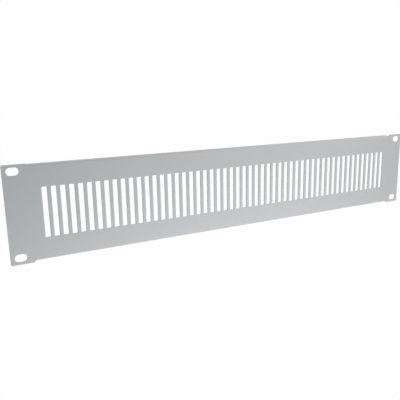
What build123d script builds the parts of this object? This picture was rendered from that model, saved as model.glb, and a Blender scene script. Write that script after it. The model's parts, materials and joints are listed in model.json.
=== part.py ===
from build123d import *

import os

# A ventilated blanking panel for a 19-inch rack: one sheet of steel, punched flat and
# then folded. X runs along the panel, Z is up and the front faces -Y. The origin is on
# the rear face of the ears, midway between the four mounting slots.

# Driving dimensions, in millimetres

# The rack's own grid
rack_unit = 44.45
units_high = 2
rail_hole_spacing = 465.1
rail_hole_inset = 6.35

# The sheet and its outline
sheet = 1.0
height_clearance = 0.8
slot_end_margin = 8.75
ear_width = 21.0
ear_corner_radius = 1.5

# The two flanges folded back along the long edges
fold_inset = 1.4
flange_depth = 10.0
bend_radius = 0.8
relief_width = 0.3
relief_overcut = 0.3
flange_corner_chamfer = 0.5

# The mounting slots in the ears
slot_length = 10.5
slot_width = 7.0

# The row of upright vents
vent_pitch = 8.0
vent_width = 4.6
vent_border = 21.3
vent_end_margin = 8.0
vent_corner_radius = 0.5

# Sizes that follow from these

panel_height = units_high * rack_unit - height_clearance
panel_width = rail_hole_spacing + 2 * slot_end_margin
slot_spacing_z = units_high * rack_unit - 2 * rail_hole_inset

# Outer faces of the flanges, and the line where each bend leaves the flat face
flange_length = panel_width - 2 * ear_width
flange_outer_z = panel_height / 2 - fold_inset
bend_line_z = flange_outer_z - sheet - bend_radius
flange_tip_y = flange_depth - sheet

# As many vents as fit between the flanges' ends, centred
vent_length = panel_height - 2 * vent_border
vent_field = flange_length - 2 * vent_end_margin - vent_width
vent_count = int(vent_field / vent_pitch) + 1

# The strips beside the ears that leave the face to become flanges
strip_height = panel_height / 2 - bend_line_z
strip_centre_z = bend_line_z + strip_height / 2
strip_length = flange_length + 2 * relief_width

# The relief slits at the strips' ends run on past the bend line
relief_centre_x = (flange_length + relief_width) / 2
relief_centre_z = bend_line_z - relief_overcut / 2


with BuildPart() as panel:
    # The flat face with its ears, from the front at -sheet to the rear at 0
    with BuildSketch(Plane.XZ) as face_outline:
        RectangleRounded(panel_width, panel_height, ear_corner_radius)
        with GridLocations(0, 2 * strip_centre_z, 1, 2):
            Rectangle(strip_length, strip_height, mode=Mode.SUBTRACT)
        inner_ear_corners = face_outline.vertices().group_by(Axis.Z)
        inner_ear_corners = inner_ear_corners[0] + inner_ear_corners[-1]
        fillet(
            inner_ear_corners.filter_by_position(Axis.X, -strip_length / 2, strip_length / 2),
            ear_corner_radius,
        )
    extrude(amount=sheet)

    # The folded section: flange, bend, front wall, bend, flange
    with BuildSketch(Plane.YZ) as folded_section:
        with BuildLine():
            FilletPolyline(
                (flange_tip_y, flange_outer_z),
                (-sheet, flange_outer_z),
                (-sheet, -flange_outer_z),
                (flange_tip_y, -flange_outer_z),
                radius=bend_radius + sheet,
            )
            offset(amount=sheet, side=Side.LEFT)
        make_face()
    extrude(amount=flange_length / 2, both=True)

    # The flanges' free corners are cut off
    flange_tips = panel.edges().filter_by(Axis.Z).group_by(Axis.Y)[-1]
    chamfer(flange_tips, flange_corner_chamfer)

    # The ends of the relief slits, between the flanges and the ears
    with BuildSketch(Plane.XZ) as reliefs:
        with GridLocations(2 * relief_centre_x, 2 * relief_centre_z, 2, 2):
            Rectangle(relief_width, relief_overcut)
    extrude(amount=sheet, mode=Mode.SUBTRACT)

    # Mounting slots, long side along the panel
    with BuildSketch(Plane.XZ) as mounting_slots:
        with GridLocations(rail_hole_spacing, slot_spacing_z, 2, 2):
            SlotOverall(slot_length, slot_width)
    extrude(amount=sheet, mode=Mode.SUBTRACT)

    # Vents, nearly square at their ends
    with BuildSketch(Plane.XZ) as vents:
        with GridLocations(vent_pitch, 0, vent_count, 1):
            RectangleRounded(vent_width, vent_length, vent_corner_radius)
    extrude(amount=sheet, mode=Mode.SUBTRACT)

panel.part.label = "blanking_panel"

os.makedirs("parts", exist_ok=True)
export_step(panel.part, "parts/blanking_panel.step")
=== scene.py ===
import json
import math

import bpy
import numpy as np
from bpy.props import FloatProperty, FloatVectorProperty, IntProperty, PointerProperty
from bpy.types import Operator, Panel, PropertyGroup
from mathutils import Matrix, Vector
from mathutils.geometry import delaunay_2d_cdt


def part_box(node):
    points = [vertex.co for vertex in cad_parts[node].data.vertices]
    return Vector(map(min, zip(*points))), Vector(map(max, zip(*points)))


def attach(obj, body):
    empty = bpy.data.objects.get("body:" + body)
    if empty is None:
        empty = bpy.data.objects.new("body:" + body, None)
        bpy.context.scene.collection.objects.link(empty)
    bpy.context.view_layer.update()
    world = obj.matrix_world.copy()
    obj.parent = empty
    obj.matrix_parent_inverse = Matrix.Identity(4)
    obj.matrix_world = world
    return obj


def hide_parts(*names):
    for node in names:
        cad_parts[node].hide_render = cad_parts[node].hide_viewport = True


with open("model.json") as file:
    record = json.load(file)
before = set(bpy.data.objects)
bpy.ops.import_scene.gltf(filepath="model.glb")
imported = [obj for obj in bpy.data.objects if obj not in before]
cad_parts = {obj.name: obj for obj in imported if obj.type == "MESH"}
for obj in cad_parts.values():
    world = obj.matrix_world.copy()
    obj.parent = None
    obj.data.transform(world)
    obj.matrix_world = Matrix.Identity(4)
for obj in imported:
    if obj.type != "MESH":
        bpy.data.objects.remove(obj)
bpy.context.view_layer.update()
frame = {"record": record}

bl_info = {
    "name": "Ventilated Rack Blanking Panel",
    "version": (1, 0, 0),
    "blender": (4, 5, 0),
    "location": "View3D > Sidebar > Blanking Panel",
    "description": "A folded, punched and powder-coated steel panel, and the studio it is shown in",
    "category": "Object",
}

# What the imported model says: the node's corners, and the slots in its ears
NODE = "blanking_panel"
SLOT = "light_grey_powder_coat"
LOW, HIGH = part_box(NODE)
RACK_SLOTS = next(mount["dims"] for mount in frame["record"]["mounts"] if mount["name"] == "rack_slots")
MM = 0.001


def length(name, description, default):
    """A size in metres that a user may change."""
    return FloatProperty(
        name=name, description=description, default=default, min=0, precision=5, unit="LENGTH"
    )


def colour(name, description, default):
    """A linear colour that a user may change."""
    return FloatVectorProperty(
        name=name, description=description, default=default, min=0, max=1, size=3, subtype="COLOR"
    )


def watts(name, description, default):
    """A lamp's power that a user may change."""
    return FloatProperty(name=name, description=description, default=default, min=0, unit="POWER")


def place(name, description, default):
    """A point in metres that a user may change."""
    return FloatVectorProperty(
        name=name, description=description, default=default, size=3, precision=5, subtype="TRANSLATION"
    )


def share(name, description, default):
    """A number from 0 to 1 that a user may change."""
    return FloatProperty(
        name=name, description=description, default=default, min=0, max=1, precision=3, subtype="FACTOR"
    )


class SheetSizes(PropertyGroup):
    """The sheet, its ears and its two folds."""

    width: length("Width", "From the outer end of one ear to the other", HIGH[0] - LOW[0])
    height: length("Height", "Of the ears, from their lower edge to their upper", HIGH[2] - LOW[2])
    thickness: length("Thickness", "Of the coated sheet", -LOW[1])
    flange_depth: length("Flange Depth", "From the front face to a flange's free edge", HIGH[1] - LOW[1])
    ear_width: length("Ear Width", "From the panel's end to the flanges' ends", 21 * MM)
    ear_corner_radius: length("Ear Corner Radius", "Of the ears' corners", 1.5 * MM)
    fold_inset: length("Fold Inset", "From the ears' edge in to a flange's outer face", 1.4 * MM)
    bend_radius: length("Bend Radius", "On the inside of each bend", 0.8 * MM)
    relief_width: length("Relief Width", "Of the slits between flanges and ears", 0.3 * MM)
    relief_overcut: length("Relief Overcut", "How far a slit runs past the bend", 0.3 * MM)
    flange_chamfer: length("Flange Chamfer", "Cut off the flanges' free corners", 0.5 * MM)
    front_rounding: length("Front Rounding", "Radius where a punched edge meets the front", 0.22 * MM)
    rear_rounding: length("Rear Rounding", "Radius where a punched edge meets the rear", 0.16 * MM)


class OpeningSizes(PropertyGroup):
    """The mounting slots in the ears and the row of vents between them."""

    slot_spacing_x: length(
        "Slot Spacing Across", "Between the slots' centres along the panel", RACK_SLOTS["spacing_x_mm"] * MM
    )
    slot_spacing_z: length(
        "Slot Spacing Upright", "Between the slots' centres up the panel", RACK_SLOTS["spacing_y_mm"] * MM
    )
    slot_length: length("Slot Length", "From end to end", RACK_SLOTS["slot_length_mm"] * MM)
    slot_width: length("Slot Width", "Across the slot", 2 * RACK_SLOTS["hole_r_mm"] * MM)
    vent_count: IntProperty(name="Vents", description="How many vents the row has", default=53, min=1)
    vent_pitch: length("Vent Pitch", "From one vent's centre to the next", 8 * MM)
    vent_width: length("Vent Width", "Across a vent", 4.6 * MM)
    vent_length: length("Vent Length", "From a vent's lower end to its upper", 45.5 * MM)
    vent_corner_radius: length("Vent Corner Radius", "Of a vent's four corners", 0.5 * MM)


class CoatLook(PropertyGroup):
    """The powder coat."""

    colour: colour("Colour", "Light grey of the coat", (0.549, 0.566, 0.577))
    edge_colour: colour("Edge Colour", "The coat drawn thin over a cut edge", (0.518, 0.535, 0.546))
    roughness: share("Roughness", "Of the matt surface", 0.7)
    peel_size: length("Peel Size", "Across one hump of the orange peel", 2.4 * MM)
    peel_height: length("Peel Height", "From its hollows to its humps", 0.03 * MM)
    grain_size: length("Grain Size", "Across one grain of the powder", 0.6 * MM)
    grain_height: length("Grain Height", "Of one grain of the powder", 0.14 * MM)
    grain_shade: share("Grain Shade", "How much the grains vary the colour", 0.1)
    grain_gloss: share("Grain Gloss", "How much the grains vary the roughness", 0.15)
    film_size: length("Film Size", "Across one thick or thin place in the coat", 45 * MM)
    film_shade: share("Film Shade", "How much the coat's thickness varies the colour", 0.03)
    film_gloss: share("Film Gloss", "How much the coat's thickness varies the roughness", 0.06)


class StudioLook(PropertyGroup):
    """The floor, the light and the camera."""

    floor_colour: colour("Floor Colour", "Pale floor under the panel", (0.9, 0.9, 0.9))
    floor_drop: length("Floor Drop", "From the panel's lower edge down to the floor", 0.9)
    floor_size: length("Floor Size", "Across the floor", 60)
    floor_white: share("Floor White", "Share of plain white where the floor is seen directly", 0.985)
    room_white: share("Room White", "Strength of the room's white where it is seen directly", 0.992)
    ambient: FloatProperty(
        name="Ambient", description="Strength of the room's own light", default=0.35, min=0
    )
    lower_power: watts("Lower", "Watts of the softbox in front and below", 2.27)
    upper_power: watts("Upper", "Watts of the softbox in front and above", 1.46)
    rear_power: watts("Rear", "Watts of the softbox behind", 5.0)
    lens: FloatProperty(name="Lens", description="Focal length in millimetres", default=43.01, min=1)
    camera_place: place("Camera Place", "Where the camera stands", (-0.28139, -0.42486, 0.09742))
    camera_aim: place("Camera Aim", "The point that the camera looks at", (-0.05465, -0.001, -0.00765))
    camera_roll: FloatProperty(
        name="Camera Roll", description="Clockwise lean of the camera",
        default=math.radians(1.152), subtype="ANGLE",
    )


# Steps in each quarter turn
ROUNDING_STEPS = 3
BEND_STEPS = 10
EAR_CORNER_STEPS = 8
VENT_CORNER_STEPS = 4
SLOT_END_STEPS = 12

# A corner that turns by less than this is shaded as round
GENTLE_TURN = math.radians(32)

# In metres, how near two points are that count as one, in an outline and in filling a flat face
SAME_POINT = 1e-7
FILL_TOLERANCE = 1e-8

# Outlines are arrays of points across and up the flat sheet. The material lies to the
# right of the way that an outline runs.


def quarter_turn(steps):
    """Cosines and sines from 0 to 90 degrees."""
    turn = np.linspace(0, math.pi / 2, steps + 1)
    return np.stack([np.cos(turn), np.sin(turn)], axis=1)


def rounded_rectangle(width, height, radius, steps):
    """Anticlockwise: four quarter circles, each centred one radius inside its corner, with what two
    of them share left out."""
    arc = quarter_turn(steps)
    turned = np.stack([arc, arc[:, ::-1] * (-1, 1), -arc, arc[:, ::-1] * (1, -1)])
    side = np.array([[1, 1], [-1, 1], [-1, -1], [1, -1]])
    centre = side * (np.array([width, height]) / 2 - radius)
    ring = (centre[:, None] + radius * turned).reshape(-1, 2)
    step = np.linalg.norm(ring - np.roll(ring, 1, axis=0), axis=1)
    return ring[step > SAME_POINT]


def blank_outline(sheet, blank):
    """Clockwise: one quarter, from the flange's free corner along its end, round the relief slit and
    both corners of the ear, then its mirror images. The slit's end is square, the ear's corners are
    quarter circles, and the flange's end has a point at each step of the bend."""
    half_width, half_height, radius = sheet.width / 2, sheet.height / 2, sheet.ear_corner_radius
    slit = blank["flange_half"] + sheet.relief_width
    slit_end = blank["bend_line"] - sheet.relief_overcut
    arc = quarter_turn(EAR_CORNER_STEPS)
    free_corner = [
        (blank["flange_half"] - sheet.flange_chamfer, blank["tip"]),
        (blank["flange_half"], blank["tip"] - sheet.flange_chamfer),
    ]
    bend = np.linspace(blank["bend_end"], blank["bend_line"], BEND_STEPS + 1)
    bend = np.stack([np.full_like(bend, blank["flange_half"]), bend], axis=1)
    slit_corners = [(blank["flange_half"], slit_end), (slit, slit_end)]
    inner_corner = (slit + radius, half_height - radius) + radius * arc * (-1, 1)
    outer_corner = (half_width - radius, half_height - radius) + radius * arc[:, ::-1]
    quarter = np.concatenate([free_corner, bend, slit_corners, inner_corner, outer_corner])
    back = quarter[::-1]
    return np.concatenate([quarter, back * (1, -1), -quarter, back * (-1, 1)])


def bend_guides(count):
    """Pairs of points on the outline, at the two ends of each step of both bends. In each quarter of
    the outline, the bend's points come after the two points of the free corner."""
    step = 2 + np.arange(BEND_STEPS + 1)
    upper = np.stack([step, count - 1 - step], axis=1)
    lower = np.stack([count // 2 - 1 - step, count // 2 + step], axis=1)
    return np.concatenate([upper, lower])


def outline_normals(outline):
    """For each edge, its normal out of the material at its two ends. Where the outline turns gently,
    that is the mean of the two edges' normals, each weighted by its edge's length. The third result
    is the mitre: how far a point moves for one unit of inset of both its edges."""
    edge = np.roll(outline, -1, axis=0) - outline
    size = np.linalg.norm(edge, axis=1, keepdims=True)
    after = np.stack([-edge[:, 1], edge[:, 0]], axis=1) / size
    before = np.roll(after, 1, axis=0)
    cosine = np.sum(before * after, axis=1, keepdims=True)
    mean = after * size + before * np.roll(size, 1, axis=0)
    mean /= np.linalg.norm(mean, axis=1, keepdims=True)
    gentle = cosine > math.cos(GENTLE_TURN)
    start = np.where(gentle, mean, after)
    end = np.roll(np.where(gentle, mean, before), -1, axis=0)
    return start, end, -(before + after) / (1 + cosine)


def edge_profile(thickness, front, rear):
    """A cut edge from the front face to the rear: a quarter circle, the wall and a quarter circle.
    Each point's inset from the wall and depth, and its normal's parts out of the wall and down."""
    arc = quarter_turn(ROUNDING_STEPS)
    inset = np.concatenate([front * (1 - arc[:, 1]), rear * (1 - arc[::-1, 1])])
    depth = np.concatenate([front * (1 - arc[:, 0]), thickness - rear * (1 - arc[::-1, 0])])
    out = np.concatenate([arc[:, 1], arc[::-1, 1]])
    down = np.concatenate([-arc[:, 0], arc[::-1, 0]])
    return inset, depth, out, down


def inside(points, outline):
    """Whether each point has an odd number of the outline's edges to its right."""
    x, y = points[:, :1], points[:, 1:]
    x0, y0 = outline[:, 0], outline[:, 1]
    x1, y1 = np.roll(x0, -1), np.roll(y0, -1)
    spans = (y0 > y) != (y1 > y)
    rise = np.where(y1 == y0, 1, y1 - y0)
    return np.sum(spans & (x < x0 + (y - y0) * (x1 - x0) / rise), axis=1) % 2 == 1


def fold(blank, points, normals):
    """Bends the flat blank. Up to the bend line, and all over the ears, up the blank is up. Past the
    line the sheet turns about the bend's centre by the length gone over the middle layer's radius,
    up to a quarter turn, and then runs straight back. The lower half mirrors the upper."""
    across, up, depth = points.T
    folds = np.abs(across) < blank["fold_limit"]
    past = np.where(folds, np.maximum(np.abs(up) - blank["bend_line"], 0), 0)
    turned = np.minimum(past, blank["arc"])
    cosine, sine = np.cos(turned / blank["middle_radius"]), np.sin(turned / blank["middle_radius"])
    side = np.sign(up)
    radius = blank["outer_radius"] - depth
    straight = past - turned
    back = blank["outer_radius"] - blank["thickness"] - radius * cosine + straight
    height = side * (np.abs(up) - past + radius * sine)
    out_x, out_up, out_depth = normals.T
    return (
        np.stack([across, back, height], axis=1),
        np.stack(
            [out_x, out_up * side * sine + out_depth * cosine, out_up * cosine - out_depth * side * sine],
            axis=1,
        ),
    )


def flat_blank(sheet):
    """The sheet before it is folded: the bend's radii, how far up from the middle each bend starts
    and ends and the flange's free edge lies, and how far across the flanges end."""
    outer_radius = sheet.bend_radius + sheet.thickness
    middle_radius = sheet.bend_radius + sheet.thickness / 2
    bend_line = sheet.height / 2 - sheet.fold_inset - outer_radius
    arc = middle_radius * math.pi / 2
    flange_half = sheet.width / 2 - sheet.ear_width
    return {
        "thickness": sheet.thickness,
        "outer_radius": outer_radius,
        "middle_radius": middle_radius,
        "bend_line": bend_line,
        "arc": arc,
        "bend_end": bend_line + arc,
        "tip": bend_line + arc + sheet.flange_depth - outer_radius,
        "flange_half": flange_half,
        "fold_limit": flange_half + sheet.relief_width / 2,
    }


def cut_outlines(sheet, openings, blank):
    """The outline of the blank, then of each vent from left to right, then of each slot."""
    vent = rounded_rectangle(
        openings.vent_width, openings.vent_length, openings.vent_corner_radius, VENT_CORNER_STEPS
    )
    slot = rounded_rectangle(
        openings.slot_length, openings.slot_width, openings.slot_width / 2, SLOT_END_STEPS
    )
    vent_x = (np.arange(openings.vent_count) - (openings.vent_count - 1) / 2) * openings.vent_pitch
    slot_x = openings.slot_spacing_x / 2 * np.array([-1, 1, -1, 1])
    slot_z = openings.slot_spacing_z / 2 * np.array([-1, -1, 1, 1])
    outlines = [blank_outline(sheet, blank)]
    outlines += [vent + (x, 0) for x in vent_x]
    outlines += [slot + centre for centre in zip(slot_x, slot_z)]
    return outlines


def cut_edges(sheet, outlines, here, there):
    """The edge profile carried along every outline: its points, a row of them for each point of an
    outline, its four-sided faces, and a normal for each corner of those."""
    flat = np.concatenate(outlines)
    start, end, mitre = (np.concatenate(part) for part in zip(*map(outline_normals, outlines)))
    inset, depth, out, down = edge_profile(sheet.thickness, sheet.front_rounding, sheet.rear_rounding)
    row = len(inset)
    rim = np.empty((len(flat), row, 3))
    rim[..., :2] = flat[:, None] + mitre[:, None] * inset[:, None]
    rim[..., 2] = depth

    column = np.arange(row - 1)
    here, there = here[:, None] * row + column, there[:, None] * row + column
    quads = np.stack([here, there, there + 1, here + 1], axis=-1).reshape(-1, 4)
    normals = np.empty((len(flat), row - 1, 4, 3))
    normals[..., :2] = np.stack([start, end, end, start], axis=1)[:, None]
    normals[..., :2] *= np.stack([out[:-1], out[:-1], out[1:], out[1:]], axis=1)[..., None]
    normals[..., 2] = np.stack([down[:-1], down[:-1], down[1:], down[1:]], axis=1)
    return rim, quads, normals.reshape(-1, 3)


def flat_triangles(front, counts, borders):
    """Triangles between the outlines. The filling covers the whole hull, so one that lies outside the
    blank is left out, and so is one in an opening: its corners are all on that opening's outline,
    because every opening is convex."""
    points = [Vector(point) for point in front.tolist()]
    whole_hull, give_sources = 0, True
    filling = delaunay_2d_cdt(points, borders.tolist(), [], whole_hull, FILL_TOLERANCE, give_sources)
    triangles, sources = filling[2:4]
    triangles = np.array([source[0] for source in sources])[np.array(triangles)]
    owner = np.repeat(np.arange(len(counts)), counts)[triangles]
    in_opening = (owner[:, 0] > 0) & (owner[:, 0] == owner[:, 1]) & (owner[:, 1] == owner[:, 2])
    in_blank = inside(front[triangles].mean(axis=1), front[: counts[0]])
    return triangles[in_blank & ~in_opening]


def folded_sheet(sheet, openings):
    """The whole sheet as one closed surface. The edge profile is carried along every outline, the two
    flat faces between the outlines are filled, and then the blank is folded."""
    blank = flat_blank(sheet)
    outlines = cut_outlines(sheet, openings, blank)
    counts = np.array([len(outline) for outline in outlines])
    first = np.repeat(np.cumsum(counts) - counts, counts)
    here = np.arange(counts.sum())
    there = first + (here - first + 1) % np.repeat(counts, counts)
    rim, quads, rim_normals = cut_edges(sheet, outlines, here, there)

    borders = np.concatenate([np.stack([here, there], axis=1), bend_guides(counts[0])])
    row = rim.shape[1]
    front = flat_triangles(rim[:, 0, :2], counts, borders) * row
    rear = front[:, ::-1] + row - 1
    triangles = np.concatenate([front, rear])
    face_normals = np.zeros((2, front.size, 3))
    face_normals[0, :, 2] = -1
    face_normals[1, :, 2] = 1

    points = rim.reshape(-1, 3)
    corners = np.concatenate([quads.ravel(), triangles.ravel()])
    normals = np.concatenate([rim_normals, face_normals.reshape(-1, 3)])
    places, normals = fold(blank, points[corners], normals)
    vertices = np.empty_like(points)
    vertices[corners] = places
    return vertices, quads, triangles, normals


# Shader nodes


class Wire:
    """A socket that a node gives out. Python's arithmetic on it adds Math nodes."""

    def __init__(self, shader, socket):
        self.shader = shader
        self.socket = socket

    def maths(self, operation, first, second):
        """One Math node on two wires or numbers."""
        return self.shader.add("ShaderNodeMath", {"operation": operation}, {0: first, 1: second})

    def larger(self, other):
        """The larger of the two."""
        return self.maths("MAXIMUM", self, other)

    def __add__(self, other):
        return self.maths("ADD", self, other)

    def __sub__(self, other):
        return self.maths("SUBTRACT", self, other)

    def __mul__(self, other):
        return self.maths("MULTIPLY", self, other)

    def __rsub__(self, other):
        return self.maths("SUBTRACT", other, self)

    __radd__ = __add__
    __rmul__ = __mul__


class Shader:
    """Builds the nodes of one material or world."""

    def __init__(self, owner):
        owner.use_nodes = True
        self.tree = owner.node_tree
        self.tree.nodes.clear()

    def add(self, kind, settings=None, sockets=None, give=0):
        """A node of that kind. Its settings come first, then a value or a wire for each socket, and
        the wire that it gives is the numbered or named output."""
        node = self.tree.nodes.new(kind)
        for name, value in (settings or {}).items():
            setattr(node, name, value)
        for name, value in (sockets or {}).items():
            if isinstance(value, Wire):
                self.tree.links.new(value.socket, node.inputs[name])
            else:
                node.inputs[name].default_value = value
        return Wire(self, node.outputs[give]) if len(node.outputs) else None

    def noise(self, place, size, detail):
        """Noise from 0 to 1 whose humps are about that size across."""
        return self.add(
            "ShaderNodeTexNoise", None, {"Vector": place, "Scale": 1 / size, "Detail": detail}
        )

    def mix(self, factor, first, second):
        """The first colour where the factor is 0, and the second where it is 1. The Mix node takes
        colours at its sockets 6 and 7 and gives one at 2."""
        return self.add(
            "ShaderNodeMix", {"data_type": "RGBA"}, {0: factor, 6: (*first, 1), 7: (*second, 1)}, 2
        )

    def scaled(self, tint, factor):
        """A colour times a number."""
        return self.add("ShaderNodeVectorMath", {"operation": "SCALE"}, {0: tint, "Scale": factor})

    def seen_directly(self):
        """1 where the camera, a reflection or glass sees the surface, and 0 where it lights others."""
        camera = self.add("ShaderNodeLightPath", give="Is Camera Ray")
        glossy = self.add("ShaderNodeLightPath", give="Is Glossy Ray")
        glass = self.add("ShaderNodeLightPath", give="Is Transmission Ray")
        return camera.larger(glossy.larger(glass))


def powder_coat(look):
    """Matt light grey powder coat. Its film varies a little from place to place, single grains of the
    powder still show in the colour and the gloss, and it has dried with a fine orange peel. Film and
    speck are the noise about its middle, and the relief's height is in metres."""
    material = bpy.data.materials.new(SLOT)
    shader = Shader(material)
    where = shader.add("ShaderNodeTexCoord", give="Object")
    film = shader.noise(where, look.film_size, detail=3) - 0.5
    peel = shader.noise(where, look.peel_size, detail=1.5)
    grain = shader.noise(where, look.grain_size, detail=2)
    speck = grain - 0.5
    cut_edge = shader.add("ShaderNodeAttribute", {"attribute_name": "cut_edge"}, give="Fac")
    tint = shader.mix(cut_edge, look.colour, look.edge_colour)
    shade = film * look.film_shade + speck * look.grain_shade + 1
    gloss = film * look.film_gloss + speck * look.grain_gloss + look.roughness
    height = peel * look.peel_height + grain * look.grain_height
    relief = shader.add("ShaderNodeBump", None, {"Distance": 1.0, "Height": height})
    surface = shader.add(
        "ShaderNodeBsdfPrincipled",
        None,
        {
            "Base Color": shader.scaled(tint, shade),
            "Roughness": gloss,
            "Metallic": 0.0,
            "IOR": 1.5,
            "Normal": relief,
        },
    )
    shader.add("ShaderNodeOutputMaterial", None, {"Surface": surface})
    return material


def pale_floor(look):
    """A pale matt floor. What sees it directly gets mostly plain white, and the rest keeps the shadow."""
    material = bpy.data.materials.new("pale_floor")
    shader = Shader(material)
    matt = shader.add("ShaderNodeBsdfDiffuse", None, {"Color": (*look.floor_colour, 1)})
    white = shader.add("ShaderNodeEmission", None, {"Color": (1, 1, 1, 1), "Strength": 1.0})
    seen = shader.seen_directly() * look.floor_white
    both = shader.add("ShaderNodeMixShader", None, {0: seen, 1: matt, 2: white})
    shader.add("ShaderNodeOutputMaterial", None, {"Surface": both})
    return material


def white_room(world, look):
    """The room behind the floor: white where it is seen directly, and a soft even light."""
    shader = Shader(world)
    light, white = (
        shader.add("ShaderNodeBackground", None, {"Color": (1, 1, 1, 1), "Strength": strength})
        for strength in (look.ambient, look.room_white)
    )
    both = shader.add("ShaderNodeMixShader", None, {0: shader.seen_directly(), 1: light, 2: white})
    shader.add("ShaderNodeOutputWorld", None, {"Surface": both})


# Operators

# Each softbox's side, where it hangs and what it faces, in metres. The two in front face past the
# panel, so their light fades along it.
SOFTBOXES = {
    "lower": (0.5, (-0.02, -0.2, -0.4), (-0.015, 0, -0.425)),
    "upper": (0.4, (0.184, -0.303, 0.343), (-0.286, 0, -0.163)),
    "rear": (0.8, (-0.2, 1.1, 0.05), (0, 0, 0)),
}


def new_object(context, name, data):
    """Links a new object into the scene."""
    thing = bpy.data.objects.new(name, data)
    context.scene.collection.objects.link(thing)
    return thing


class BLANKING_PANEL_OT_sheet(Operator):
    """Build the folded and punched sheet, with its powder coat"""

    bl_idname = "blanking_panel.sheet"
    bl_label = "Folded Sheet"

    def execute(self, context):
        scene = context.scene
        vertices, quads, triangles, normals = folded_sheet(scene.panel_sheet, scene.panel_openings)
        mesh = bpy.data.meshes.new("folded_sheet")
        mesh.from_pydata(vertices.tolist(), [], quads.tolist() + triangles.tolist())
        mesh.polygons.foreach_set("use_smooth", np.ones(len(mesh.polygons), dtype=bool))
        cut_edge = mesh.attributes.new("cut_edge", "FLOAT", "FACE")
        is_cut = np.arange(len(mesh.polygons)) < len(quads)
        cut_edge.data.foreach_set("value", is_cut.astype(np.float32))
        mesh.normals_split_custom_set(normals.tolist())
        mesh.materials.append(powder_coat(scene.panel_coat))
        sheet = new_object(context, "folded_sheet", mesh)
        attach(sheet, "root")
        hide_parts(NODE)
        return {"FINISHED"}


class BLANKING_PANEL_OT_studio(Operator):
    """Lay the pale floor, set the lamps and the room's light, and place the camera"""

    bl_idname = "blanking_panel.studio"
    bl_label = "Studio"

    def execute(self, context):
        scene = context.scene
        look = scene.panel_studio
        self.lay_floor(context, look)
        for name, (size, spot, aim) in SOFTBOXES.items():
            power = getattr(look, name + "_power")
            self.hang_softbox(context, name + "_softbox", power, size, spot, aim)
        scene.world = bpy.data.worlds.new("white_room")
        white_room(scene.world, look)
        self.place_camera(context, look)
        scene.view_settings.view_transform = "Standard"
        return {"FINISHED"}

    def lay_floor(self, context, look):
        """A level square, centred under the panel."""
        corner = np.array([[-1, -1], [1, -1], [1, 1], [-1, 1]]) * look.floor_size / 2
        level = np.full((4, 1), LOW[2] - look.floor_drop)
        mesh = bpy.data.meshes.new("floor")
        mesh.from_pydata(np.hstack([corner, level]).tolist(), [], [(0, 1, 2, 3)])
        mesh.materials.append(pale_floor(look))
        new_object(context, "floor", mesh)

    def hang_softbox(self, context, name, power, size, spot, aim):
        """A square lamp, which the camera doesn't see."""
        light = bpy.data.lights.new(name, "AREA")
        light.energy = power
        light.size = size
        softbox = new_object(context, name, light)
        facing = (Vector(aim) - Vector(spot)).to_track_quat("-Z", "Y").to_matrix().to_4x4()
        softbox.matrix_world = Matrix.Translation(spot) @ facing
        softbox.visible_camera = False

    def place_camera(self, context, look):
        """The camera faces its aim, then leans about its own line of sight."""
        camera = bpy.data.cameras.new("camera")
        camera.sensor_width = 36
        camera.lens = look.lens
        camera.clip_start = 0.01
        camera.clip_end = 200
        stand = new_object(context, "camera", camera)
        facing = (Vector(look.camera_aim) - Vector(look.camera_place)).to_track_quat("-Z", "Y")
        lean = Matrix.Rotation(-look.camera_roll, 4, "Z")
        stand.matrix_world = Matrix.Translation(look.camera_place) @ facing.to_matrix().to_4x4() @ lean
        context.scene.camera = stand


class VIEW3D_PT_blanking_panel(Panel):
    """The panel's sizes and finishes, and the buttons that build it"""

    bl_label = "Blanking Panel"
    bl_category = "Blanking Panel"
    bl_space_type = "VIEW_3D"
    bl_region_type = "UI"

    def draw(self, context):
        for group in SETTINGS:
            box = self.layout.box()
            settings = getattr(context.scene, group)
            for name in settings.bl_rna.properties.keys():
                if name not in {"rna_type", "name"}:
                    box.prop(settings, name)
        for step in STEPS:
            self.layout.operator(step.bl_idname)


SETTINGS = {
    "panel_sheet": SheetSizes,
    "panel_openings": OpeningSizes,
    "panel_coat": CoatLook,
    "panel_studio": StudioLook,
}
STEPS = (BLANKING_PANEL_OT_sheet, BLANKING_PANEL_OT_studio)
CLASSES = (*SETTINGS.values(), *STEPS, VIEW3D_PT_blanking_panel)


def register():
    for made in CLASSES:
        bpy.utils.register_class(made)
    for name, group in SETTINGS.items():
        setattr(bpy.types.Scene, name, PointerProperty(type=group))


def unregister():
    for name in SETTINGS:
        delattr(bpy.types.Scene, name)
    for made in reversed(CLASSES):
        bpy.utils.unregister_class(made)


def main():
    register()
    bpy.ops.blanking_panel.sheet()
    bpy.ops.blanking_panel.studio()


if __name__ == "__main__":
    main()
